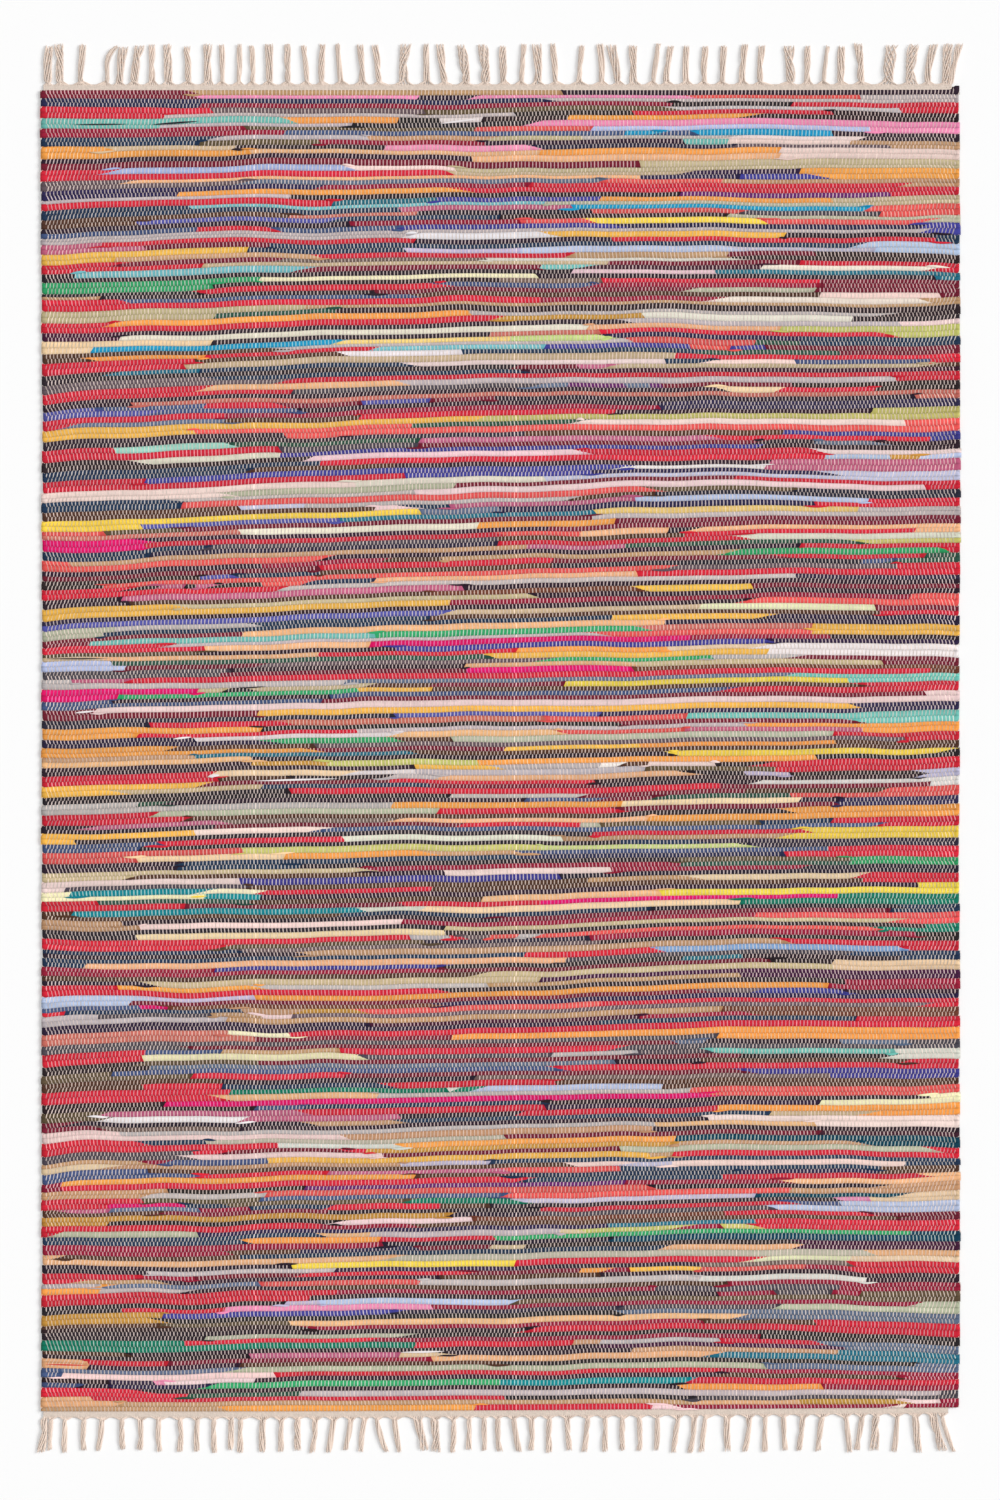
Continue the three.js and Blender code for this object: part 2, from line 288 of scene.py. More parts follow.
# %% The chart, from the far end
CHART = """
maroon 195, tan 562, black
maroon 195, pink- 418, black 474, pink- 690, coral- 860, silver
navy 548, silver-
navy 200, crimson 672, black 792, red
red+ 212, grey 425, olive 674, silver- 900, red+
red+ 165, silver- 515, black 633, red 832, black
turquoise+ 290, orange+ 398, black 440, white 482, black 568, orange 750, black
turquoise 160, silver- 352, black 532, pink+
crimson 245, olive- 475, coral 592, sky 870, pink+
crimson 285, denim 625, cyan 660, denim 695, cyan+ 832, black
slate 215, silver 368, tan 490, khaki 582, silver- 730, blush 862, black
slate 200, olive+ 320, crimson 485, black 684, turquoise+ 728, blush 850, tan
orange+ 110, khaki 235, black 385, pink+ 535, navy 735, grey- 890, tan
orange+ 250, peach 540, orange+ 780, blush+
black 472, peach+ 780, blush+
maroon+ 640, khaki+
red 112, periwinkle+ 350, blush 455, khaki 690, khaki-
red+ 450, khaki- 685, navy 800, orange+
grey 130, peach- 640, navy 740, royal+ 820, orange+
grey 245, steel 604, coral 722, tan
navy 320, crimson 530, red 905, tan
navy 178, orange 460, red
silver- 290, black 680, purple 890, red
red+ 333, teal 437, royal 600, orange 832, khaki
slate 190, aqua- 545, sage- 868, khaki
slate 400, rose 572, cyan 868, coral+
umber 290, salmon- 417, black 592, coral 742, smoke 880, coral+
umber 137, violet 335, slate 500, black 728, sage-
black 350, crimson 520, coral 590, yellow+ 763, coral 930, sage
denim 197, red 275, denim 400, royal 620, navy 925, royal+
silver- 925, royal+
silver- 410, white+ 550, gold+ 785, black 935, slate
rose 102, red 415, black 612, red 935, slate
rose 145, maroon 270, slate 858, sky+
gold+ 248, slate 405, lavender 520, sky+ 735, lavender- 875, sky+
gold 115, tan 318, red 570, tan+ 728, maroon 815, black
red 120, maroon 280, taupe- 487, ivory- 735, black
red 203, khaki- 608, maroon 800, red
black 75, aqua+ 305, maroon 540, turquoise 585, plum 762, ivory 935, red+
black 572, pale 715, teal
green+ 260, lemon 537, black 935, teal
green+ 213, black 500, taupe 602, red 820, maroon
black- 200, red+ 442, denim 592, crimson 820, maroon
tan- 100, black 375, maroon 690, sage 815, maroon
red+ 125, denim 415, umber 820, blush+ 940, maroon
red+ 540, crimson 716, ivory+ 925, tan
khaki+ 305, tan-
khaki+ 215, forest 335, black+
red 112, orange+ 470, silver- 885, black
red+ 497, ochre 643, ivory+ 852, black
plum 120, black 625, silver 900, blush
plum 120, ivory+ 588, peach 780, citron+
cream+ 212, black 490, salmon 600, red 890, citron+
cream+ 92, cyan+ 340, butter 510, lime+ 608, navy 800, slate
umber 285, silver- 628, coral+ 755, forest 800, slate
umber 90, orange 205, red 375, aqua 545, royal 690, coral 730, royal 765, maroon
red+ 195, umber 342, white+ 462, slate 700, forest 840, maroon
red+ 185, khaki+ 675, red
black 110, teal 200, slate 410, blush 665, slate 708, blush 795, denim 930, red
black 515, maroon 578, rose 610, khaki 930, umber
grey 212, slate 525, plum
grey 285, red
red+ 205, peach+ 403, silver+ 895, red
red 292, smoke 535, steel 568, purple 625, steel 650, purple 662, maroon 792, black
black 720, cream+ 780, red 875, black
black 132, salmon
violet 98, denim 205, red+ 282, maroon 362, violet 430, maroon 495, black 915, salmon
violet+ 155, denim 300, black 660, navy
red+ 225, crimson 660, navy
red+ 68, steel 225, umber 360, red+ 615, black 872, citron+
gold+ 480, citron+
gold 195, coral 412, forest 580, blush+ 905, coral+
black 285, coral+
black 345, navy 525, umber+ 783, royal
red 115, mint+ 232, forest 420, rose+ 715, red 930, royal
red+ 280, smoke+ 418, maroon 760, black 815, steel 880, black
black 140, ivory+ 280, royal 760, black
black 308, pale+ 582, red+ 820, blush
slate 320, red+ 825, sky 890, ochre 920, sky
slate 250, umber 395, black 770, rose+
red+ 145, royal+ 625, white- 765, rose+
red+ 405, royal 592, navy 828, ice+
blush+ 355, ivory+ 545, ice
blush 228, sage+ 455, maroon 735, red
slate 178, silver- 415, blush+ 925, red
slate+ 182, coral+ 653, olive 795, navy
umber 240, ice 305, silver 572, umber 655, navy
umber 375, blush 410, slate 450, rose 635, sky+ 868, red
yellow+ 420, steel+ 500, navy+ 815, red
yellow+ 142, violet 340, teal 595, butter+ 858, silver
coral 105, olive 182, maroon 592, silver
salmon 240, ivory+ 478, orange+ 615, maroon
magenta+ 145, black 548, maroon
magenta+ 145, red 500, coral 580, peach+ 668, black 692, peach
slate 208, smoke 498, umber 685, red 915, peach
slate 150, navy 498, red 742, ivory+
coral 70, tan 527, rose 625, forest 860, citron
coral+ 325, black 800, red
black 262, crimson 385, umber 442, tan 728, green+ 945, red
maroon 320, red+ 552, maroon 780, red 925, forest
black 200, violet 235, slate 320, umber 552, black 862, denim 895, forest
black 104, coral 670, grey 897, red+
red 130, black 160, rose 185, black 196, rose 216, black 262, coral 308, slate 375, peach 637, red+
red+ 283, silver 795, navy
black 122, rose+ 463, black
black 130, umber 430, brown 640, gold+ 752, maroon
gold+ 181, khaki 533, black
gold+ 450, crimson 910, coral+
navy 120, black 747, coral+
violet+ 447, khaki 700, lemon+ 875, maroon
sage+ 115, silver 255, slate 430, umber 880, red
sage+ 104, slate 612, gold+ 766, navy
maroon 243, peach+ 665, navy
maroon 90, turquoise+ 375, green+ 645, salmon+ 812, gold+
red 170, silver- 597, coral+ 812, gold
red 205, peach+ 370, magenta+ 690, crimson 830, black
olive 200, black 395, royal+ 770, navy
khaki 100, peach 318, red 517, orange+ 668, cream 760, white+
sky+ 112, forest 490, gold+ 768, white+
sky+ 125, maroon 262, grey 545, green 712, silver 795, maroon
smoke 230, black 465, peach 632, khaki+ 882, maroon
smoke 220, maroon 467, magenta+ 633, brown
silver 72, rose 128, red+ 930, brown
silver+ 345, steel 790, turquoise
magenta+ 198, khaki 225, black 252, khaki 370, umber 432, maroon 565, yellow+ 848, turquoise
magenta+ 118, green 358, gold 432, umber 862, red
denim 112, black 330, denim 727, red+
denim 322, maroon 925, blush+
maroon 95, blush+
maroon+ 258, gold+ 855, navy
navy 395, violet 600, navy
navy 150, red+ 285, salmon+ 545, coral+ 687, turquoise+
orange+ 262, black 620, maroon 855, turquoise+
orange+ 138, red 357, silver 745, orange
navy 195, white 395, peach+ 560, coral 685, rose 862, orange+
navy 272, green+ 398, umber 452, sage+ 833, red
orange+ 172, umber 315, grey 905, red+
orange 315, maroon 505, gold 640, orange 835, umber
tan 195, teal 412, umber
peach+ 252, black 672, yellow+ 948, black
black 252, ochre 328, citron+ 478, orange+ 816, black
black 415, gold 495, silver+ 600, white 622, umber 648, blush 715, black 762, red+
red+ 212, cream+ 352, white 415, silver+ 645, olive 775, red+
red 218, umber 290, black 388, silver 440, peach+ 690, black 745, lavender 790, black 920, lavender
gold+ 205, maroon 390, red 595, black 920, lavender
gold+ 120, khaki 262, slate 430, maroon 600, black 756, frost
black 290, red+ 720, maroon 930, frost
black 450, silver 582, maroon 745, umber 884, coral+
silver+ 138, forest 165, black 525, denim 600, maroon 655, forest 790, coral
silver+ 392, orange+ 622, cream+ 800, black 840, navy
red+ 155, sage+ 438, red+ 620, maroon 838, navy
red+ 188, umber 610, black 786, orange+
black 88, rose 224, taupe 395, peach 648, orange+
black 215, maroon 460, red 580, sage 600, olive 760, slate 832, red+
gold+ 195, blush+ 322, denim 880, red
gold+ 75, black 592, red 805, yellow+
denim 162, red+ 344, ivory+ 562, tan 785, yellow+
denim 140, black 620, slate 700, navy
coral+ 243, citron+ 540, lime 748, navy
coral+ 137, cream+ 285, orange+ 430, tan 520, denim 828, red+
black 180, slate 520, navy 785, red+
black 178, slate 300, black 680, olive 850, green
khaki 368, crimson 680, forest 850, green
khaki 130, umber 370, black 445, blush+ 611, crimson 805, black
blush+ 240, royal+ 560, black
blush 65, smoke 250, umber 588, tan 692, cream+ 860, red+
lemon 70, lagoon+ 205, lemon 260, red 432, umber 862, red
lemon 205, lagoon+ 260, black 918, yellow+
red 98, forest 250, umber 482, peach+ 660, yellow+
red+ 185, maroon 402, red 540, magenta 838, jade+
umber 72, lagoon+ 362, frost 422, cream+ 740, jade+
umber 340, slate 650, black 900, slate
tan+ 122, black 500, maroon 890, slate
tan 140, blush+ 402, crimson 755, coral+
black 445, khaki 895, coral+
black 137, cream+ 445, black 925, jade
red+ 410, silver 450, red 462, grey 490, coral 518, silver 538, coral 880, jade
red+ 222, olive 425, navy 590, crimson+ 915, black
slate 240, grey 600, black
black 305, tan+ 785, red+
slate 525, red+ 658, cornflower+ 905, red
slate 85, peach+ 566, smoke 850, slate
crimson 215, royal 442, black 682, teal 742, black 900, slate
crimson 445, maroon 770, black 833, cream+
umber 478, khaki+ 833, cream
black 150, khaki+ 540, plum
red 118, orange 258, silver 488, tan 740, plum
red+ 442, black 845, crimson+
sky+ 145, lavender 255, orange+ 828, crimson
sky+ 130, maroon 705, grey 758, royal+ 845, black
denim 140, magenta 168, brown 442, navy
red 65, slate 242, tan+ 300, ochre 360, coral+ 600, red
silver+ 98, smoke 212, tan 262, blush 292, grey 925, red
silver+ 227, tan+ 722, brown
navy 370, plum 640, crimson 752, brown
navy 600, slate 856, red
salmon+ 228, lemon 290, red+
salmon+ 255, maroon 452, orange+
smoke 718, orange+
smoke 190, maroon 675, steel 705, black 840, steel 908, smoke
red+ 145, denim 222, tan 340, red+ 618, smoke
red+ 143, lemon+ 362, smoke 552, silver 638, smoke 708, turquoise+ 895, frost+
black 140, olive 258, maroon 740, black 890, frost+
black 150, steel 615, black 700, umber 905, red+
olive 112, denim 558, red+
olive 192, red+ 345, maroon 745, royal+
umber 222, black 475, taupe 830, royal+
umber 143, red+ 222, slate 388, red+ 555, umber
red+ 230, jade 448, frost 455, jade 478, sky+ 662, umber
red+ 222, peach+ 378, silver 690, coral+
black 165, magenta+ 712, coral
black 255, denim 305, slate 545, black 930, lemon
olive 103, rose+ 303, red+ 545, navy 820, lemon+
olive 105, white+ 243, rose+ 400, black 520, red+ 718, orange+
maroon 70, black 310, tan 400, slate 770, khaki 868, orange+
maroon 100, taupe 240, black 708, blush+
blush 120, silver 655, peach 815, blush+
blush 345, tan+ 652, black
red+ 143, slate 206, sage 505, maroon 820, plum
red+ 278, frost 400, orange+ 675, petrol+
smoke 193, red 225, maroon 345, red 366, ochre 675, tan 860, petrol+
smoke 188, blush+ 383, maroon 620, sage+ 932, red+
tan 145, crimson 165, denim+ 268, gold+ 650, tan 672, red+
cream+ 110, tan 400, lavender 490, slate
denim+ 148, umber 570, blush 625, lavender 672, blush+ 905, slate
denim 200, red 328, rose 505, coral+ 620, slate 880, umber
crimson 62, orange+ 415, umber 510, slate 740, navy 880, umber
crimson 62, red+ 525, slate 722, red+ 925, peach
tan 168, black 305, purple 625, crimson 785, peach+
tan 145, silver+ 266, coral+ 652, black 880, tan
red+ 143, olive 260, denim 505, coral+ 790, tan+
red+ 108, magenta 185, slate 228, olive 408, jade+ 523, lavender 755, petrol 900, cream+
umber 65, rose 110, steel 200, crimson 250, slate 328, red+ 440, umber 490, black 838, pink 870, cream
umber 160, maroon 328, black 540, red 790, denim 840, sky+
ochre+ 449, black 540, smoke 772, sky+
ochre 108, black 338, blush+ 472, brown 725, red 870, maroon
red+ 320, crimson 415, umber 900, maroon
red+ 55, sage+ 198, navy 608, teal 755, red+
slate 322, peach 370, silver+ 560, cream 582, citron 682, crimson 722, citron 757, red+
slate 246, orange+ 380, red 495, green 910, petrol
crimson+ 383, black 612, petrol+
crimson 230, umber 300, navy 418, maroon 490, khaki 525, black 800, plum
peach 58, umber 240, slate 665, peach+ 798, plum
peach+ 393, sage+ 870, peach+
black 292, yellow+ 515, red+ 755, lemon 850, cream+
black 148, silver 335, navy 515, black 700, taupe 850, red+
red+ 140, crimson 195, maroon 300, red 470, maroon 580, orange 607, crimson 630, \
gold 700, coral 805, crimson 850, red+
red 80, tan 162, black 440, umber 600, black
silver 98, orange 105, steel 260, coral+ 420, silver+ 700, frost+ 866, black
orange+ 100, silver 185, black 310, umber 728, crimson
red+ 337, crimson 655, smoke+ 840, crimson
red+ 310, black 718, crimson 775, smoke 832, crimson 860, olive+
black 285, lavender 320, sky+ 515, olive
black 122, red 225, pink+ 432, crimson 915, sage+
ochre+ 163, cobalt+ 395, navy 620, smoke 778, sage+
ochre+ 160, black 620, steel
umber 160, olive 290, peach+ 740, steel
black 312, crimson 703, umber 815, red+
black 528, red+ 815, red+
black 205, sage 405, black
jade+ 185, red 372, crimson 760, black
jade+ 415, red+ 573, tan 600, silver 720, red 820, steel
umber 130, black 600, plum 845, steel
black 250, rose+ 400, cream 445, black 632, tan 838, teal+
peach 88, red+ 168, maroon 300, crimson 432, peach+ 713, teal+
peach+ 88, black 240, umber 500, black 915, steel
denim 62, steel 235, sage+ 765, steel+
denim 62, blush+ 275, red 720, crimson
black 110, navy 155, pink 165, blush 255, black 720, umber 900, crimson
denim 80, black 110, navy 207, green+ 500, lagoon+ 690, red+
red 143, black 680, orange+ 822, crimson+
red 187, forest 300, silver+ 940, smoke
peach 92, red 505, black 693, smoke
peach+ 120, tan 693, peach 800, ochre+ 905, blush 940, crimson
tan 222, orange+ 475, red+ 652, blush 680, crimson 895, blush 905, crimson
"""

# %% Read the chart
ROW_COUNT = 275
FIELD_EDGES = (42, 959.5)  # photo columns of the two side edges
BULK = {"+": 1.38, "-": 0.70}


def read_row(line):
    """The rags of one row: (colour name, bulk, where it ends in metres)."""
    rags = []
    for entry in line.split(","):
        name, *column = entry.split()
        end = column[0] if column else FIELD_EDGES[1]
        rags.append((name.rstrip("+-"), BULK.get(name[-1], 1.0), float(across_at(float(end)))))
    return rags


chart_rows = [read_row(line) for line in CHART.strip().splitlines()]
rng = np.random.default_rng(7)
print(len(chart_rows), "rows charted,", sum(len(row) for row in chart_rows), "stretches of rag")

# %% [markdown]
# ## Where each row lies
#
# A weaver beats each row against the last one, so a bulky rag pushes all the rows beyond it
# away, and they run in slow waves. The map below does the same. It adds up the bulk of the rags
# at every point across the rug, and then scales each group of ten or twenty rows so that it
# starts and ends where it does on the real rug, at five places across.

# %% The row map
STATIONS = (42, 270, 500, 730, 959)  # photo columns at which the rows' places are given
ROW_PLACES = {  # row number: photo line of that row's lower edge at each station
    0: (90.5, 90.5, 90.5, 90.5, 90),
    10: (138.5, 135, 136.5, 135.5, 137),
    20: (191, 184.5, 183.5, 183.5, 184),
    40: (284, 277, 273, 274.5, 276),
    60: (384, 373.5, 370, 367.5, 367.5),
    70: (428.5, 422.5, 415.5, 413, 413.5),
    80: (482, 472, 465.5, 464.5, 466),
    90: (534, 524.5, 516.5, 512.5, 511),
    100: (584.5, 572.5, 565, 559.5, 557),
    110: (630, 621.5, 613.5, 609, 610),
    120: (673, 667.5, 663, 659, 660),
    140: (769, 761, 759.5, 754.5, 755),
    150: (815, 808.5, 808.5, 803.5, 800.5),
    160: (865, 859, 854.5, 852, 851.5),
    170: (911.5, 907.5, 906, 898, 899),
    180: (961, 956.5, 953.5, 944, 946),
    200: (1053.5, 1049, 1046.5, 1043.5, 1044.5),
    210: (1105.5, 1099.5, 1095.5, 1091.5, 1090.5),
    220: (1155, 1148.5, 1145, 1139.5, 1141),
    240: (1247, 1243.5, 1240.5, 1232.5, 1235.5),
    260: (1341, 1339, 1337, 1332, 1341.5),
    275: (1411, 1411, 1410, 1408.5, 1407),
}
STATION_BLEND = 14  # warp ends over which a row bends at a station
LINE_BLEND = 2  # warp ends over which every line is smoothed
BLEND_LENGTH = 22 * MM  # over which a row's depth changes where one rag follows another
BULK_RANGE = (0.92, 1.08)  # rags of one kind differ in bulk
WAVE_SIZE = 1.05 * MM
WAVE_REACH = (10, 4)  # warp ends along a row, and rows, that bend together
STEADY_ROWS = 8  # at each end of the rug, where the small waves fade out
FIRST_TURN = (6.5 * MM, 5 * MM)  # how far the far right corner stands up, and its width

WARP_ENDS = 500
FIELD_INSET = 8.2 * MM  # from the side edge to the outermost warp end
LEFT_EDGE = float(across_at(FIELD_EDGES[0])) + FIELD_INSET
WARP_PITCH = (float(across_at(FIELD_EDGES[1])) - FIELD_INSET - LEFT_EDGE) / (WARP_ENDS - 1)
columns = LEFT_EDGE + np.arange(WARP_ENDS) * WARP_PITCH


def smoothed(values, reach):
    """Each row of values averaged along the rug's width with a soft window."""
    steps = np.arange(-3 * reach, 3 * reach + 1)
    window = np.exp(-0.5 * (steps / reach) ** 2)
    window /= window.sum()
    padded = np.pad(values, ((0, 0), (len(steps) // 2,) * 2), mode="edge")
    return np.array([np.convolve(row, window, "valid") for row in padded])


def row_bulks(rows):
    """Bulk of every row at every warp end."""
    bulks = np.empty((len(rows), WARP_ENDS))
    for n, row in enumerate(rows):
        ends = np.array([end for _, _, end in row])
        which = np.clip(np.searchsorted(ends, columns), 0, len(row) - 1)
        own = np.array([bulk for _, bulk, _ in row]) * rng.uniform(*BULK_RANGE, len(row))
        bulks[n] = own[which]
    return smoothed(bulks, max(1, round(BLEND_LENGTH / WARP_PITCH)))


def given_line(row):
    """y at every warp end of the lower edge of a row whose places are given."""
    y = np.interp(columns, across_at(STATIONS), along_at(ROW_PLACES[row]))
    return smoothed(y[None], STATION_BLEND)[0]


def row_map(bulks):
    """y of every line between rows, from the far end, at every warp end."""
    lines = np.empty((ROW_COUNT + 1, WARP_ENDS))
    given = sorted(ROW_PLACES)
    for first, last in zip(given, given[1:]):
        start, end = given_line(first), given_line(last)
        share = np.vstack([np.zeros(WARP_ENDS), np.cumsum(bulks[first:last], axis=0)])
        lines[first:last + 1] = start + (end - start) * share / share[-1]
    return smoothed(lines, LINE_BLEND)


def small_waves():
    """The little bends that neighbouring rows share, none at the two ends of the rug."""
    along = smoothed(rng.normal(size=(ROW_COUNT + 1, WARP_ENDS)), WAVE_REACH[0])
    both = smoothed(along.T, WAVE_REACH[1]).T
    number = np.arange(ROW_COUNT + 1)
    fade = np.minimum(number, number[::-1]).clip(0, STEADY_ROWS) / STEADY_ROWS
    return WAVE_SIZE * both / both.std() * fade[:, None]


lines = row_map(row_bulks(chart_rows)) + small_waves()
lines[0] += FIRST_TURN[0] * np.exp(-((columns[-1] - columns) / FIRST_TURN[1]) ** 2)
depths = lines[:-1] - lines[1:]
print("row depths, mm:", (depths.min() * 1000).round(1), "to", (depths.max() * 1000).round(1))

# %% [markdown]
# ## The weft, rag after rag
#
# The weft is one long cord of rags, so its colour is followed from row to row round the turns.
# Two rags of the same kind never match exactly, and each gets its own shade: old blacks have
# faded the most unevenly, to brown, blue or plum. Where a rag ends, the next one starts beside
# it: mostly at a steep cut, sometimes along a long taper. At some of the joints the doubled ends
# make a small knot, which hides the warp for a finger's width.

# %% Shades and joints
LEFT, RIGHT = -1, 1
DARK = 0.08  # a dye whose strongest light is weaker than this is a dark one
FADING = {True: 0.25, False: 0.04}  # how unevenly dark dyes and the others have faded
SHADE_RANGE = (0.85, 1.05)
TAPERED, KNOTTED, RISING = 0.4, 0.4, 0.5  # shares of the joints
TAPER_RANGE = (20 * MM, 60 * MM)
CUT_RANGE = (3 * MM, 8 * MM)
KNOT_RANGE = (6 * MM, 12 * MM)


def own_shade(name):
    """The shade of one rag of this colour."""
    fading = FADING[BASKET[name].max() < DARK]
    tint = rng.uniform(*SHADE_RANGE)
    return BASKET[name] * tint * rng.uniform(1 - fading, 1 + 1.3 * fading, 3)


def dye_weft(rows):
    """The colour of every stretch of rag, in weaving order from row to row."""
    dyed = []
    previous, shade = None, None
    for n, row in enumerate(rows):
        direction = 1 if n % 2 else -1
        shades = []
        for name, _, _ in row[::direction]:
            if name != previous:
                shade = own_shade(name)
                previous = name
            shades.append(shade)
        dyed.append(np.array(shades[::direction]))
    return dyed


def lay_joints(row):
    """For each joint of a row: its place, its taper's length, its slope and its knot's length."""
    count = len(row) - 1
    tapered = rng.random(count) < TAPERED
    tapers, cuts = rng.uniform(*TAPER_RANGE, count), rng.uniform(*CUT_RANGE, count)
    knotted = rng.random(count) < KNOTTED
    knots = rng.uniform(*KNOT_RANGE, count)
    return {
        "at": np.array([end for _, _, end in row[:-1]]),
        "taper": np.where(tapered, tapers, cuts),
        "rising": rng.random(count) < RISING,
        "knot": np.where(knotted, knots, 0),
    }


shades = dye_weft(chart_rows)
joints = [lay_joints(row) for row in chart_rows]
knot_count = sum((joint["knot"] > 0).sum() for joint in joints)
print(sum(len(joint["at"]) for joint in joints), "joints,", knot_count, "knots")

# %% [markdown]
# ## The ribs
#
# Every row becomes a rib: an upper edge, a crest and a lower edge, with a point at each of the
# 500 warp ends. Where a warp end goes over the rag it pinches it, so the crest is low and the
# rib narrow. Where it goes under, the rag puffs up and spreads. Beyond the outermost warp end
# the rag turns round to the next row, which makes the small smooth lobes of the side edge.

# %% Points of the ribs
FLOOR_GAP = 0.2 * MM
VALLEY = 3.7 * MM
PINCHED = 5.3 * MM
PUFFED = 6.4 * MM
SPREAD = 0.45 * MM  # how far a puffed rag pushes into the next row
BULK_SWELL = 0.5 * MM  # how much higher a rag of twice the bulk is
KNOT_SWELL = 0.7 * MM
UNEVEN_HEIGHT, UNEVEN_VALLEY = 0.15 * MM, 0.2 * MM
CREST_WANDER = 0.1  # share of a row's depth by which its crest moves to and fro
TURN_STEPS = [  # share of the way out, share of the height kept, crest z, middle line z
    (0.30, 0.99, 6.2 * MM, 5.4 * MM),
    (0.64, 0.92, 5.9 * MM, 5.9 * MM),
    (0.88, 0.72, 4.9 * MM, 5.0 * MM),
    (1.00, 0.40, 3.3 * MM, 3.3 * MM),
]

row_numbers = np.arange(ROW_COUNT)
warp_over = (row_numbers[:, None] + np.arange(WARP_ENDS)[None]) % 2 == 0
turn_line = {LEFT: row_numbers // 2 * 2 + 1, RIGHT: (row_numbers + 1) // 2 * 2}


def slow_noise(shape, reach):
    """Smooth noise along each row, about -1 to 1."""
    raw = smoothed(rng.normal(size=shape), reach)
    return raw / raw.std() / 2


def slow_line(count, reach):
    """Smooth noise for one line of points."""
    return slow_noise((1, count), reach)[0]


def rib_points():
    """The points of all ribs, as rows x 3 lines x columns x 3."""
    push = np.where(warp_over, -SPREAD, SPREAD)
    upper = lines[:-1] + push
    lower = lines[1:] - push
    wander = slow_noise(upper.shape, 10)
    bulk = smoothed(row_bulks(chart_rows), 3) - 1
    swell = BULK_SWELL * bulk + UNEVEN_HEIGHT * slow_noise(upper.shape, 4)
    height = np.where(warp_over, PINCHED, PUFFED) + swell
    for n, joint in enumerate(joints):
        for at, knot in zip(joint["at"], joint["knot"]):
            knotted = abs(columns - at) < knot / 2
            height[n] = np.where(knotted, PUFFED + KNOT_SWELL, height[n])
            upper[n] += KNOT_SWELL * knotted
            lower[n] -= KNOT_SWELL * knotted
    crest = (upper + lower) / 2 + CREST_WANDER * (upper - lower) * wander
    low = VALLEY + UNEVEN_VALLEY * slow_noise(upper.shape, 3)
    y = np.stack([upper, crest, lower], 1)
    z = np.stack([low, height, low], 1)
    x = np.broadcast_to(columns, y.shape)
    return np.stack([x, y, z], -1)


def turned_end(ribs, side):
    """The lobes at one side: the two rows that share a turn close round the line between them."""
    outermost = 0 if side == LEFT else -1
    last = ribs[:, :, outermost]
    shared = turn_line[side]
    middle = lines[shared, outermost]
    reach = turn_reach[side][shared // 2]
    steps = []
    for out, keep, crest_z, middle_z in TURN_STEPS:
        x = last[..., 0] + side * (out * reach)[:, None]
        y = middle[:, None] + (last[..., 1] - middle[:, None]) * keep
        outer_z = min(VALLEY, crest_z)
        z = np.tile([outer_z, crest_z, outer_z], (ROW_COUNT, 1))
        z[shared > row_numbers, 2] = middle_z
        z[shared == row_numbers, 0] = middle_z
        steps.append(np.stack([x, y, z], -1))
    return np.stack(steps[::-1] if side == LEFT else steps, 2)


TURN_COUNT = ROW_COUNT // 2 + 1
TURN_WAVE = 1.5 * MM
turn_reach = {}
for side in (LEFT, RIGHT):
    wave = slow_line(TURN_COUNT, 6) + rng.uniform(-1, 1, TURN_COUNT)
    turn_reach[side] = FIELD_INSET + TURN_WAVE * wave

ribs = rib_points()
ribs = np.concatenate([turned_end(ribs, LEFT), ribs, turned_end(ribs, RIGHT)], 2)
print("rib points", ribs.shape[:3], "highest", (ribs[..., 2].max() * 1000).round(1), "mm")

# %% [markdown]
# ## Meshes from arrays
#
# The ribs hold too many faces to make one by one, so whole arrays go to Blender at once. Each
# corner of each face carries what the shader needs: the colours of the rag and of the one that
# follows it, how far the cut between them has come, how far across the row the corner is, and
# a shade. The bake map gives each row its own strips, two to a row, so that no rag is blurred,
# and small margins keep the strips apart.

# %% Mesh and attribute helpers
def make_mesh(name, points, faces, material):
    """A smooth mesh piece from arrays of points and of equal-sided faces."""
    corners = np.asarray(faces, np.int32)
    mesh = bpy.data.meshes.new(name)
    mesh.vertices.add(len(points))
    mesh.vertices.foreach_set("co", np.asarray(points, np.float32).ravel())
    mesh.loops.add(corners.size)
    mesh.loops.foreach_set("vertex_index", corners.ravel())
    mesh.polygons.add(len(corners))
    starts = np.arange(0, corners.size, corners.shape[1], dtype=np.int32)
    mesh.polygons.foreach_set("loop_start", starts)
    mesh.update(calc_edges=True)
    mesh.shade_smooth()
    mesh.materials.append(material)
    piece = bpy.data.objects.new(name, mesh)
    bpy.context.scene.collection.objects.link(piece)
    return piece


def paint(piece, name, values):
    """Writes a number or a colour for each corner of the piece's faces."""
    if values.shape[-1] == 3 and values.size == 3 * len(piece.data.loops):
        layer = piece.data.attributes.new(name, "FLOAT_COLOR", "CORNER")
        whole = np.ones((len(piece.data.loops), 4), np.float32)
        whole[:, :3] = values.reshape(-1, 3)
        layer.data.foreach_set("color", whole.ravel())
    else:
        layer = piece.data.attributes.new(name, "FLOAT", "CORNER")
        layer.data.foreach_set("value", np.asarray(values, np.float32).ravel())


def lay_map(piece, u, v):
    """The bake map, from 0 to 1 each way for each corner."""
    layer = piece.data.uv_layers.new(name="OFBake")
    pairs = np.stack([u, v], -1).astype(np.float32)
    layer.data.foreach_set("uv", pairs.ravel())


def strip_faces(strips, rows, points_across):
    """Quads of strips, each rows lines by points_across points, seen from above."""
    index = np.arange(strips * rows * points_across).reshape(strips, rows, points_across)
    quads = [index[:, :-1, :-1], index[:, 1:, :-1], index[:, 1:, 1:], index[:, :-1, 1:]]
    return np.stack(quads, -1)


def at_corners(values):
    """The values of a line of points at the corners of its quads: left, left, right, right."""
    left, right = values[:-1], values[1:]
    return np.stack([left, left, right, right], -1)


def place_piece(piece, node):
    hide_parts(node)
    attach(piece, "root")
    return piece


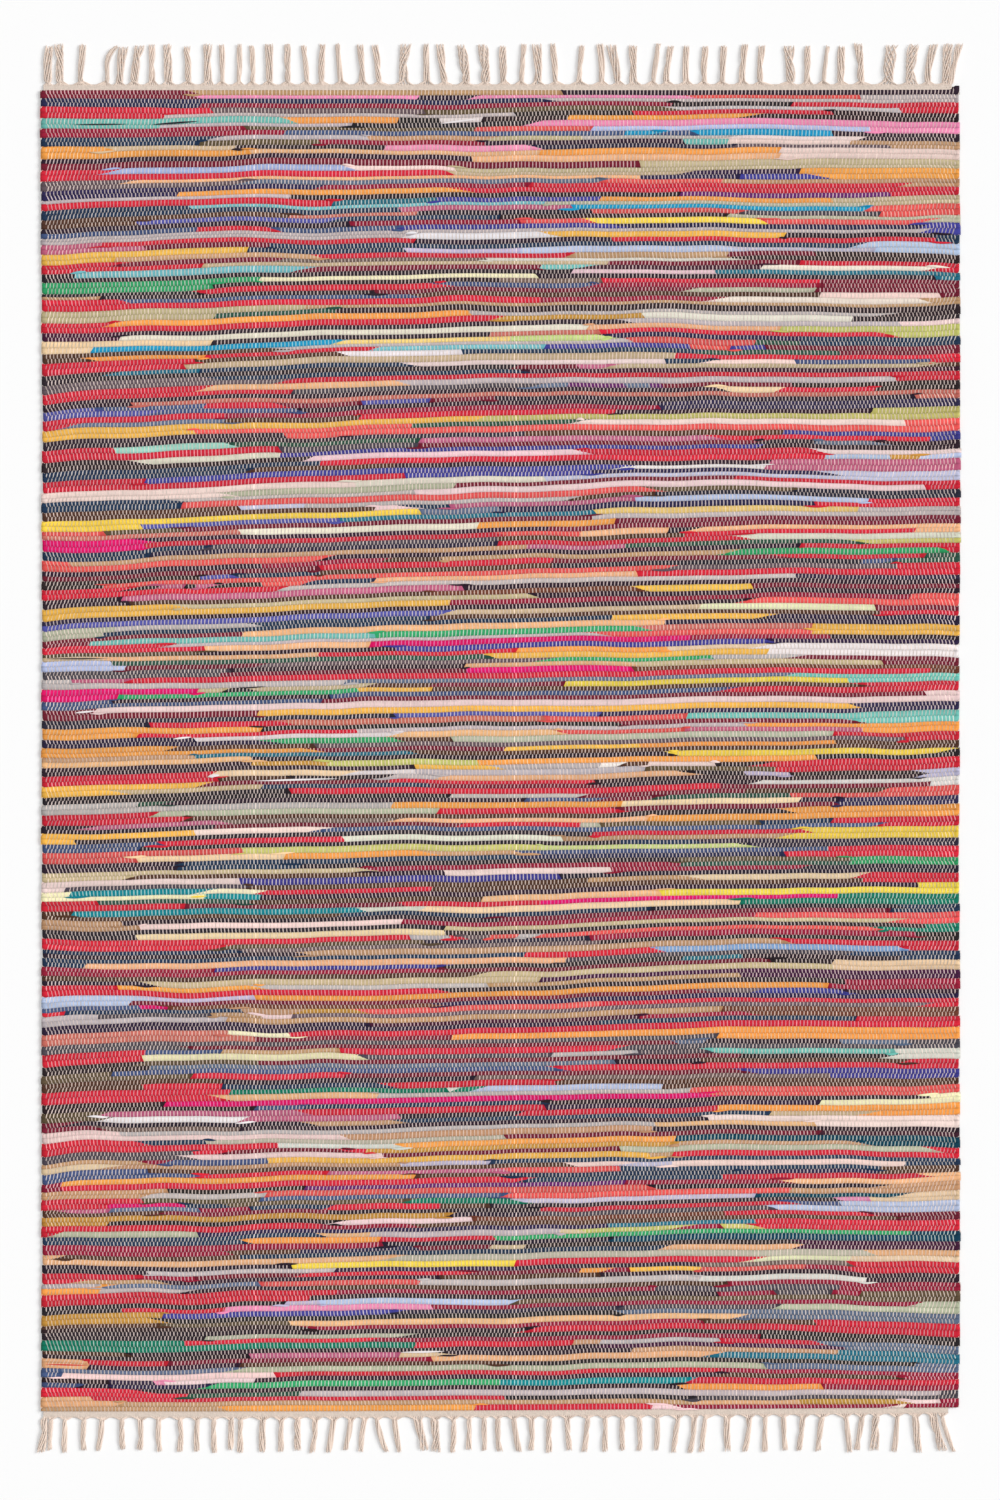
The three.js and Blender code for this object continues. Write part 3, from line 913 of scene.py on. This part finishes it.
def in_bands(build, name, count):
    """The pieces name_1, name_2 and so on, each built from its share of the rows."""
    shares = np.array_split(row_numbers, count)
    return [build(f"{name}_{number}", rows) for number, rows in enumerate(shares, 1)]


# %% Cotton materials
RAG_ROUGHNESS, WARP_ROUGHNESS = 0.93, 0.9
RAG_RELIEF, WARP_RELIEF = 0.9 * MM, 0.5 * MM
FOLDS = (60, 700, 60)  # noise cells to a metre each way: folds run along the rag
PATCHES = (9, 90, 9)
TWIST = (500, 160, 500)


def rag_cotton():
    shader = Shader("rag cotton", RAG_ROUGHNESS)
    place = shader.place()
    folds = shader.noise(place.stretched(*FOLDS), 1.0, 3.0)
    patches = shader.noise(place.stretched(*PATCHES), 1.0, 2.0)
    grain = shader.noise(place, 900.0, 2.0)
    across = shader.mesh_value("across")
    cut = (across + (folds - 0.5) * 0.3) > shader.mesh_value("split")
    colour = cut.blend(shader.mesh_value("rag", "Color"), shader.mesh_value("next_rag", "Color"))
    # fold streaks: partly uneven rag colour, partly painted shade where the folds' bump is low
    shade = 0.64 + folds * 0.34 + patches * 0.42
    # painted shade: each rib darkens towards both its edges, in the valleys between the rows
    valley = (across * 2 - 1).math("ABSOLUTE").math("POWER", 3)
    colour = colour.scaled(shade * (1 - valley * 0.34) * shader.mesh_value("shade"))
    return shader.finish(colour, folds + grain * 0.4, RAG_RELIEF)


def warp_cotton():
    shader = Shader("warp cotton", WARP_ROUGHNESS)
    twist = shader.noise(shader.place().stretched(*TWIST), 1.0, 2.0)
    # twist streaks: partly uneven yarn colour, partly painted shade where the twist's bump is low
    colour = shader.mesh_value("yarn", "Color").scaled(0.84 + twist * 0.3)
    return shader.finish(colour, twist, WARP_RELIEF)


RAG_COTTON = rag_cotton()
WARP_COTTON = warp_cotton()

# %% Build the ribs in eight bands
DOWN = np.array([[0, 0.5, 0.5, 0], [0.5, 1, 1, 0.5]])[:, None]  # share of the way down a rib
KNOT_REACH = 0.55  # share of its length, each way, in which a knot is dark and has no floats
DARKER_KNOT_AND_SHADED_TURN = 0.9  # knots are darker; on the turns it is painted shade where the rag rolls down over the side edge
UNEVEN_SHADE = 0.05


def rag_paint(n, x):
    """Of row n between the points x: its rag, the next rag, the split at both ends, its slope."""
    middles = (x[1:] + x[:-1]) / 2
    joint, colours = joints[n], shades[n]
    if not len(joint["at"]):
        whole = np.broadcast_to(colours[0], (len(middles), 3))
        return whole, whole, np.ones((len(middles), 2)), np.ones(len(middles), bool)
    near = abs(middles[:, None] - joint["at"][None]).argmin(1)
    ends = np.stack([x[:-1], x[1:]], -1)
    split = 0.5 + (joint["at"][near, None] - ends) / joint["taper"][near, None]
    return colours[near], colours[near + 1], split.clip(-0.5, 1.5), joint["rising"][near]


def shade_row(n, x):
    """Shade at each point of row n: darker knots, painted shade on the turns, slow changes along the
    rag.
    """
    # painted shade on the turned rag at both side edges
    turned = np.minimum(x - x[0], x[-1] - x) < FIELD_INSET
    shade = (1 + UNEVEN_SHADE * slow_line(len(x), 20)) * np.where(turned, DARKER_KNOT_AND_SHADED_TURN, 1)
    for at, knot in zip(joints[n]["at"], joints[n]["knot"]):
        shade = np.where(abs(x - at) < KNOT_REACH * knot, DARKER_KNOT_AND_SHADED_TURN, shade)
    return shade


def build_ribs(name, rows):
    points = ribs[rows]
    strips, _, count, _ = points.shape
    faces = strip_faces(strips, 3, count)
    piece = make_mesh(name, points.reshape(-1, 3), faces.reshape(-1, 4), RAG_COTTON)
    shape = faces.shape
    rag, following = np.empty(shape + (3,)), np.empty(shape + (3,))
    split, across, shade = np.empty(shape), np.empty(shape), np.empty(shape)
    u, v = np.empty(shape), np.empty(shape)
    step = np.arange(count - 1)
    half = (count + 1) // 2
    second = step >= half
    for k, n in enumerate(rows):
        x = points[k, 1, :, 0]
        own, after, cut, rising = rag_paint(n, x)
        rag[k], following[k] = own[None, :, None], after[None, :, None]
        split[k] = cut[None][..., [0, 0, 1, 1]]
        across[k] = np.where(rising[None, :, None], 1 - DOWN, DOWN)
        shade[k] = at_corners(shade_row(n, x))[None]
        start = (step - second * half) / half
        u[k] = start[None, :, None] + np.array([0, 0, 1, 1]) / half
        v[k] = ((2 * k + second)[None, :, None] + 0.12 + 0.76 * DOWN) / (2 * strips)
    paint(piece, "rag", rag)
    paint(piece, "next_rag", following)
    for label, values in (("split", split), ("across", across), ("shade", shade)):
        paint(piece, label, values)
    lay_map(piece, u, v)
    return place_piece(piece, "rag_field")


rib_pieces = in_bands(build_ribs, "rag_rows", 8)
print(len(rib_pieces), "bands,", sum(len(p.data.polygons) for p in rib_pieces), "faces")

# %% [markdown]
# ## Loose ends
#
# Where one rag ends and the next begins, a torn end often pokes out and lies in the valley
# beside the row, as a narrow lens of cloth. A few stray shreds that stand out in the photograph
# are laid one by one, where it shows them.

# %% Lay the loose ends
LENS = np.linspace(0, 1, 9)
BULGE = np.sin(math.pi * LENS) ** 0.7  # how wide and high a lens is along its length
LOOSE_SHARE = 0.3  # of the joints
MAP_COLUMNS = 4  # in which the small pieces lie on the bake map
SHREDS = [  # photo column and line of both ends, width in photo pixels, colour
    (73, 125, 128, 124.5, 1.2, "black"),
    (152, 125, 200, 121.5, 1.8, "black"),
    (440, 124, 480, 119, 2, "white"),
    (45, 659, 110, 658.5, 1.2, "black"),
    (74, 713, 96, 711, 2, "white"),
    (173, 739, 192, 737, 2, "white"),
    (208, 776.5, 220, 775, 3.5, "white"),
    (253, 781, 340, 778.5, 1.8, "white"),
    (189, 897, 208, 896, 2, "yellow"),
    (400, 1352, 445, 1351, 2, "white"),
    (45, 1364, 88, 1365, 1.2, "red"),
]


def lens_points(x, middle, half, z):
    """A narrow strip of cloth as 3 lines x 9 points x 3, highest along its middle."""
    return np.stack([
        np.stack([x, middle + half, z - 0.3 * MM], -1),
        np.stack([x, middle, z + 0.4 * MM], -1),
        np.stack([x, middle - half, z - 0.3 * MM], -1),
    ])


def shred(start_x, start_y, end_x, end_y, width):
    """The points of a stray shred that lies where the photo shows it."""
    x = across_at(start_x + (end_x - start_x) * LENS)
    middle = along_at(start_y + (end_y - start_y) * LENS)
    return lens_points(x, middle, width / 2 * PIXEL * BULGE, 5.8 * MM + 0.8 * MM * BULGE)


def loose_end(n, at):
    """The points of one loose end beside row n, as 3 lines x 9 points x 3."""
    x = at + (LENS - rng.uniform(0.2, 0.8)) * rng.uniform(16, 50) * MM
    x = x.clip(columns[0], columns[-1])
    sag = 0.6 * MM * np.sin(math.pi * (LENS * rng.uniform(1, 2.5) + rng.uniform(0, 2)))
    middle = np.interp(x, columns, lines[n + rng.integers(0, 2)]) + sag
    half = rng.uniform(0.9, 2.3) * MM * BULGE
    return lens_points(x, middle, half, 5.0 * MM + 1.7 * MM * BULGE)


def build_loose_ends(name, rows):
    points, colour = [], []
    for n in rows:
        for k, at in enumerate(joints[n]["at"]):
            if rng.random() < LOOSE_SHARE:
                points.append(loose_end(n, at))
                colour.append(shades[n][k + rng.integers(0, 2)] * rng.uniform(0.9, 1.05))
    for *place, shred_colour in SHREDS:
        if lines[rows[-1] + 1].mean() < along_at(place[1]) <= lines[rows[0]].mean():
            points.append(shred(*place))
            colour.append(BASKET[shred_colour])
    points, colour = np.array(points), np.array(colour)
    faces = strip_faces(len(points), 3, len(LENS))
    piece = make_mesh(name, points.reshape(-1, 3), faces.reshape(-1, 4), RAG_COTTON)
    whole = colour[:, None, None, None] + np.zeros(faces.shape + (3,))
    paint(piece, "rag", whole)
    paint(piece, "next_rag", whole)
    for label, value in (("split", 2.0), ("across", 0.5), ("shade", 1.0)):
        paint(piece, label, np.full(faces.shape, value))
    number = np.arange(len(points))[:, None, None, None]
    down = np.arange(2)[None, :, None, None] + np.array([0, 1, 1, 0])
    along = np.arange(len(LENS) - 1)[None, None, :, None] + np.array([0, 0, 1, 1])
    u = (number % MAP_COLUMNS + 0.04 + 0.92 * along / (len(LENS) - 1)) / MAP_COLUMNS
    v = (number // MAP_COLUMNS + 0.1 + 0.4 * down) / math.ceil(len(points) / MAP_COLUMNS)
    lay_map(piece, *np.broadcast_arrays(u, v))
    return place_piece(piece, "rag_field")


loose_pieces = in_bands(build_loose_ends, "loose_ends", 2)
lens_faces = 2 * (len(LENS) - 1)
print(sum(len(p.data.polygons) for p in loose_pieces) // lens_faces, "loose ends")

# %% [markdown]
# ## The warp floats
#
# Wherever a warp end passes over a rag it shows as a short cream dash that dives under the rows
# on both sides. The weaver's beating leans them a little, one way or the other. Each is a small
# barrel of two quads, bent over the crest of its row. Cotton yarn this thin takes up the colour
# of a light rag, so a dash is cream with a share of the rag below it.

# %% Build the floats
CREAM = linear("#ecdad0")
WHITER_ENDS = (255.5, 515)  # photo columns of two warp ends that are whiter than the rest
WHITER = 1.35
FLOAT_HALF = 0.98 * MM  # half its width
FLOAT_TIP = 0.62  # width of its tips, as a share of its own
FLOAT_DIVE = 1.3 * MM  # how far it goes on below the rows on both sides
FLOAT_LIFT = 1.0 * MM  # how far it stands above the crest
FLOAT_TIP_Z = 3.2 * MM


def colour_at(n, x):
    """The rag colour of row n at the places x."""
    return shades[n][np.searchsorted(joints[n]["at"], x)]


def build_floats(name, rows):
    points, tints = [], []
    for n in rows:
        shown = warp_over[n].copy()
        for at, knot in zip(joints[n]["at"], joints[n]["knot"]):
            shown &= abs(columns - at) > KNOT_REACH * knot
        x = columns[shown] + rng.normal(0, 0.15 * MM, shown.sum())
        y = (lines[n] + lines[n + 1])[shown] / 2
        reach = (lines[n] - lines[n + 1])[shown] / 2 + FLOAT_DIVE
        half = FLOAT_HALF * rng.uniform(0.85, 1.15, len(x))
        lean = 0.7 * MM * slow_line(WARP_ENDS, 25)[shown] + 0.4 * MM * row_lean[n]
        top = ribs[n, 1, len(TURN_STEPS):-len(TURN_STEPS), 2][shown] + FLOAT_LIFT
        tip_z = np.full_like(x, FLOAT_TIP_Z)
        tip = FLOAT_TIP * half
        corners = [
            (x + lean - tip, y + reach, tip_z),
            (x - half, y, top),
            (x - lean - tip, y - reach, tip_z),
            (x - lean + tip, y - reach, tip_z),
            (x + half, y, top),
            (x + lean + tip, y + reach, tip_z),
        ]
        points.append(np.stack([np.stack(corner, -1) for corner in corners], 1))
        rag = colour_at(n, x)
        brightest = rag.max(1, keepdims=True)
        share = 0.08 + 0.26 * brightest
        tint = CREAM ** (1 - share) * (0.8 * rag / brightest) ** share
        clean = (end_brightness + 0.1 * slow_line(WARP_ENDS, 30))[shown, None]
        worn = rng.uniform(0.82, 1.06, (len(x), 1))
        tints.append(tint * (0.68 + 0.37 * brightest ** 0.5) * clean * worn)
    points, tints = np.concatenate(points), np.concatenate(tints)
    halves = np.array([[0, 1, 4, 5], [1, 2, 3, 4]])
    faces = (np.arange(len(points))[:, None, None] * 6 + halves).reshape(-1, 4)
    piece = make_mesh(name, points.reshape(-1, 3), faces, WARP_COTTON)
    paint(piece, "yarn", np.repeat(tints, 8, 0))
    flat = points.reshape(-1, 3)[faces.ravel()]
    low, high = flat.min(0), flat.max(0)
    share = (flat - low) / (high - low)
    lay_map(piece, share[:, 0], share[:, 1])
    return place_piece(piece, "rag_field")


row_lean = rng.uniform(-1, 1, ROW_COUNT)
end_brightness = rng.uniform(0.95, 1.05, WARP_ENDS)
for white_end in WHITER_ENDS:
    end_brightness[abs(columns - across_at(white_end)) < 0.8 * WARP_PITCH] = WHITER
float_pieces = in_bands(build_floats, "warp_floats", 4)
print(sum(len(p.data.polygons) for p in float_pieces) // 2, "floats")

# %% [markdown]
# ## The headings and the underside
#
# At each end the weaver wove a centimetre with the warp yarn itself, to hold the rags in place.
# The underside is the same cloth seen from below: the warp ends pass there under the rows that
# they skip on top. It is only seen when the rug is turned over, so its floats are left to the
# shader.

# %% The woven headings
FAR, NEAR = 1, -1
HEADING = {  # depth, left end and right end in metres
    FAR: (10.5 * MM, -0.797, 0.788),
    NEAR: (11.5 * MM, -0.797, 0.781),
}
PICKS = 8
HEADING_Z = 2.9 * MM
HEADING_CREAM = linear("#ddcdc0")


def end_line(end, x):
    """y where the rag rows stop at one end of the rug, at the places x."""
    return np.interp(x, columns, lines[0] if end == FAR else lines[-1])


def build_heading(end, name, node):
    depth, left, right = HEADING[end]
    x = np.arange(left, right, WARP_PITCH)
    pick = np.arange(PICKS + 1)[:, None]
    wave = 0.5 * MM * slow_line(len(x), 12) * pick / PICKS
    y = end_line(end, x) + end * (depth * pick / PICKS + wave)
    z = HEADING_Z + 0.3 * MM * (-1.0) ** (pick + np.arange(len(x)))
    z[0] += 0.9 * MM  # it climbs to the rag rows
    z[-1] -= 1.0 * MM
    top = np.stack(np.broadcast_arrays(x, y, z), -1)
    below = top[[0, -1]]
    below[..., 2] = FLOOR_GAP
    if end == FAR:
        top = top[::-1]
    else:
        below = below[::-1]
    faces = [strip_faces(1, PICKS + 1, len(x)).reshape(-1, 4)]
    faces.append(strip_faces(1, 2, len(x)).reshape(-1, 4) + len(x) * (PICKS + 1))
    points = np.concatenate([top.reshape(-1, 3), below.reshape(-1, 3)])
    faces = np.concatenate(faces)
    piece = make_mesh(name, points, faces, WARP_COTTON)
    tint = HEADING_CREAM * rng.uniform(0.9, 1.05, (len(points), 1))
    paint(piece, "yarn", tint[faces])
    share = (points - points.min(0)) / (points.max(0) - points.min(0))
    u, v = share[faces][..., 0], share[faces][..., 1] * 0.6
    v[PICKS * (len(x) - 1):] = 0.8 + v[PICKS * (len(x) - 1):] / 4
    lay_map(piece, u, v)
    return place_piece(piece, node)


far_heading = build_heading(FAR, "far_heading", "far_heading_and_fringe")
near_heading = build_heading(NEAR, "near_heading", "near_heading_and_fringe")

# %% The underside
def underside_cotton():
    shader = Shader("rag cotton from below", RAG_ROUGHNESS)
    folds = shader.noise(shader.place().stretched(*FOLDS), 1.0, 3.0)
    # fold streaks: partly uneven rag colour, partly painted shade where the folds' bump is low
    rag = shader.mesh_value("rag", "Color").scaled(0.7 + folds * 0.6)
    wave = (shader.mesh_value("warp_count") * math.pi).cosine()
    across = shader.mesh_value("across")
    bare = (across - 0.5).math("ABSOLUTE") * 0.9
    colour = ((wave - bare) > 0.15).blend(rag, (*(CREAM * 0.9), 1))
    return shader.finish(colour, folds, RAG_RELIEF)


UNDERSIDE_COTTON = underside_cotton()
UNDERSIDE_POINTS = 26  # across a row, beside those at its joints
CUT_WIDTH = 1e-4  # metres in which one rag gives way to the next
EDGE_Z = 3.3 * MM


def build_underside(name, rows):
    points, faces, colour, across, count, u, v = [], [], [], [], [], [], []
    start = 0
    left, right = ribs[rows, 1, 0, 0].min(), ribs[rows, 1, -1, 0].max()
    for k, n in enumerate(rows):
        ends = joints[n]["at"]
        x = np.linspace(ribs[n, 1, 0, 0], ribs[n, 1, -1, 0], UNDERSIDE_POINTS)
        x = np.sort(np.concatenate([x, ends, ends + CUT_WIDTH]))
        upper, lower = np.interp(x, columns, lines[n]), np.interp(x, columns, lines[n + 1])
        edge = np.minimum(x - x[0], x[-1] - x) < 1e-6
        low = np.where(edge, EDGE_Z, 2.0 * MM)
        crest = np.where(edge, EDGE_Z, FLOOR_GAP)
        strip = [(x, lower, low), (x, (upper + lower) / 2, crest), (x, upper, low)]
        points.append(np.concatenate([np.stack(line, -1) for line in strip]))
        quads = strip_faces(1, 3, len(x))[0]
        faces.append(quads.reshape(-1, 4) + start)
        start += 3 * len(x)
        middles = (x[1:] + x[:-1]) / 2
        own = colour_at(n, middles)
        colour.append(np.broadcast_to(own[None, :, None], quads.shape + (3,)).reshape(-1, 3))
        down = np.broadcast_to(DOWN, quads.shape)
        across.append(down.ravel())
        sides = np.broadcast_to(at_corners(x)[None], quads.shape)
        count.append(((sides - LEFT_EDGE) / WARP_PITCH + n + 1).ravel())
        u.append(((sides - left) / (right - left)).ravel())
        v.append(((k + 0.15 + 0.7 * down) / len(rows)).ravel())
    piece = make_mesh(name, np.concatenate(points), np.concatenate(faces), UNDERSIDE_COTTON)
    paint(piece, "rag", np.concatenate(colour))
    paint(piece, "across", np.concatenate(across))
    paint(piece, "warp_count", np.concatenate(count))
    lay_map(piece, np.concatenate(u), np.concatenate(v))
    return place_piece(piece, "rag_field")


underside_pieces = in_bands(build_underside, "underside", 2)
print("headings and underside made")

# %% [markdown]
# ## The fringe
#
# The warp ends hang free beyond the headings, and gather in loose locks of about ten. The list
# gives each lock as the photo shows it: the column of its root, the column of its tip, and its
# width in photo pixels. An exclamation mark stands for a lock that hooks only near its tip.

# %% The locks
LOCKS = {
    FAR: """
48>48:8 60>59:8 81>83:6 107>117:5! 119>124:8 134>140:8 152>152:6 168>168:8 188>187:6 208>208:8
222>222:5 239>239:5 252>252:5 269>269:7 288>288:6 307>304:5 322>322:6 341>338:5 362>360:6
379>375:6 404>406:9 427>427:6 445>440:7 466>462:9 486>483:9 504>502:7 521>524:5 537>537:8
556>552:6 579>582:5 602>600:6 619>611:8 633>633:7 653>659:5 666>671:6 686>686:6 704>706:6
722>724:6 742>745:6 760>762:6 791>789:9 807>807:6 823>828:4 841>841:7 861>858:7 887>893:11
911>913:10 928>934:7 946>948:8 951>960:6
""",
    NEAR: """
44>41:8 51>50:5 65>64:6 84>84:6 102>98:6 122>122:6 140>140:6 159>159:6 180>180:6 197>197:6
214>214:6 231>231:6 240>240:6 263>263:7 281>281:6 298>298:7 315>312:6 334>329:6 351>346:6
365>360:6 377>386:6 394>399:6 417>424:9 434>436:9 453>453:6 469>469:6 484>484:6 498>500:6
513>519:6 531>531:6 549>549:6 567>569:6 588>584:6 605>605:6 623>622:6 639>639:6 657>657:6
678>674:6 694>690:6 706>701:6 727>727:7 749>745:6 765>765:6 783>785:6 803>799:6 822>818:6
845>850:6 862>857:6 876>874:9 897>894:6 915>918:8 933>943:9 941>954:5
""",
}
TIP_Y = 1.229  # where the longest yarns end
YARNS = 8  # in a lock
YARN_RADIUS = 1.3 * MM
RING = 5  # sides of a yarn
INNER = 2  # yarns of a lock that lie nearer its middle
GATHER_LENGTH = 0.07  # share of its length in which a lock draws together
FRINGE_CREAM = linear("#e9d6c8")
STATIONS_DOWN = np.array([0, 0.05, 0.11, 0.19, 0.31, 0.45, 0.6, 0.75, 0.9, 1])


def read_locks(text):
    """(root x, tip x, width, hooked) of each lock."""
    locks = []
    for entry in text.split():
        root, rest = entry.split(">")
        tip, width = rest.rstrip("!").split(":")
        root_x, tip_x = across_at(float(root)), across_at(float(tip))
        locks.append((root_x, tip_x, float(width) * PIXEL, "!" in entry))
    return locks


def lock_yarns(end, locks, index):
    """The paths of the yarns of one lock, as yarns x points x 3."""
    root, tip, width, hooked = locks[index]
    depth, left, right = HEADING[end]
    before = (locks[index - 1][0] + root) / 2 if index else left
    after = (locks[index + 1][0] + root) / 2 if index + 1 < len(locks) else right
    t = STATIONS_DOWN
    number = np.arange(YARNS)[:, None]
    roots = before + (after - before) * (number + 0.5) / YARNS
    gather = np.exp(-(t / GATHER_LENGTH) ** 2)
    swing = t ** (6 if hooked else 1.4)
    middle = root + (tip - root) * swing + rng.uniform(-1.5, 1.5) * MM * np.sin(math.pi * t)
    first_turn = rng.uniform()
    twist = rng.uniform(0.3, 0.8) * rng.choice([-1, 1])
    turn = 2 * math.pi * (number / YARNS + first_turn + twist * t)
    ring = np.where(number < INNER, 0.35, 1.0)
    fray = 1 + 0.25 * t ** 4
    half = (width * 0.5 - YARN_RADIUS) * (1.08 if end == FAR else 0.92)
    wander = 0.5 * MM * smoothed(rng.normal(size=(YARNS, len(t))), 1)
    x = gather * roots + (1 - gather) * (middle + half * fray * ring * np.cos(turn) + wander)
    lift = YARN_RADIUS + 1.6 * MM * (1 + ring * np.sin(turn)) * (1 - 0.4 * t)
    z = gather * 2.0 * MM + (1 - gather) * lift
    start = end_line(end, roots) + end * (depth - 2.5 * MM)
    shorter = rng.uniform(0, 5) * MM + rng.uniform(0, 3, (YARNS, 1)) * MM
    stop = end * (TIP_Y - shorter)
    y = start + (stop - start) * t
    return np.stack(np.broadcast_arrays(x, y, z), -1)


def tubes(paths):
    """Round yarns along paths: points and faces. Each yarn narrows at its free end."""
    along = np.gradient(paths, axis=1)
    flat = along[..., :2] / np.linalg.norm(along[..., :2], axis=-1, keepdims=True)
    side = np.stack([-flat[..., 1], flat[..., 0], np.zeros(flat.shape[:2])], -1)
    angle = 2 * math.pi * np.arange(RING) / RING
    radius = YARN_RADIUS * rng.uniform(0.85, 1.1, (len(paths), paths.shape[1], 1, 1))
    radius[:, -1] *= 0.35
    up = np.array([0, 0, 1.0])
    ring = side[:, :, None] * np.cos(angle)[:, None] + up * np.sin(angle)[:, None]
    points = paths[:, :, None] + radius * ring
    index = np.arange(points.size // 3).reshape(points.shape[:3])
    after = np.roll(index, -1, 2)
    faces = np.stack([index[:, :-1], index[:, 1:], after[:, 1:], after[:, :-1]], -1)
    return points, faces


def build_fringe(end, name, node):
    locks = read_locks(LOCKS[end])
    paths = np.concatenate([lock_yarns(end, locks, index) for index in range(len(locks))])
    points, faces = tubes(paths)
    points[..., 2] = points[..., 2].clip(FLOOR_GAP, None)
    if end == NEAR:
        faces = faces[..., ::-1]
    piece = make_mesh(name, points.reshape(-1, 3), faces.reshape(-1, 4), WARP_COTTON)
    tint = FRINGE_CREAM * rng.uniform(0.86, 1.05, (len(paths), 1))
    paint(piece, "yarn", tint[:, None, None, None] + np.zeros(faces.shape + (3,)))
    shape = faces.shape
    down = np.arange(shape[1])[None, :, None, None] + np.array([0, 1, 1, 0])
    around = np.arange(RING)[None, None, :, None] + np.array([0, 0, 1, 1])
    if end == NEAR:
        down, around = down[..., ::-1], around[..., ::-1]
    number = np.arange(len(paths))[:, None, None, None]
    lanes = math.ceil(len(paths) / MAP_COLUMNS)
    u = (number // lanes + 0.02 + 0.96 * down / shape[1]) / MAP_COLUMNS
    v = (number % lanes + 0.1 + 0.8 * around / RING) / lanes
    lay_map(piece, *np.broadcast_arrays(u, v))
    return place_piece(piece, node)


far_fringe = build_fringe(FAR, "far_fringe", "far_heading_and_fringe")
near_fringe = build_fringe(NEAR, "near_fringe", "near_heading_and_fringe")
print(len(far_fringe.data.polygons) + len(near_fringe.data.polygons), "fringe faces")

# %% [markdown]
# ## The ground, and what goes with each band
#
# The ground is plain and nearly white. For each band of rows the code measures its length along
# the rug, and gathers the floats, underside, loose ends, headings and fringe that go with it.

# %% Ground, and the length and company of each band
GROUND_WHITE = (0.94, 0.94, 0.94, 1)
GROUND_SIGNS = ((-1, -1), (1, -1), (1, 1), (-1, 1))  # of x and y at its four corners


def add_ground():
    shader = Shader("ground", 0.9)
    shader.surface.inputs["Base Color"].default_value = GROUND_WHITE
    corners = [(x * FAR_AWAY, y * FAR_AWAY, 0) for x, y in GROUND_SIGNS]
    ground = make_mesh("ground", corners, [[0, 1, 2, 3]], shader.material)


add_ground()

bands = np.array_split(row_numbers, len(rib_pieces))
for number, (piece, rows) in enumerate(zip(rib_pieces, bands)):
    length = float((lines[rows[0]] - lines[rows[-1] + 1]).mean())
    company = []
    if number % 2 == 0:
        company.append(float_pieces[number // 2])
    if number % 4 == 1:
        company += [underside_pieces[number // 4], loose_pieces[number // 4]]
    if number == 0:
        company += [far_heading, far_fringe]
    if number == len(bands) - 1:
        company += [near_heading, near_fringe]
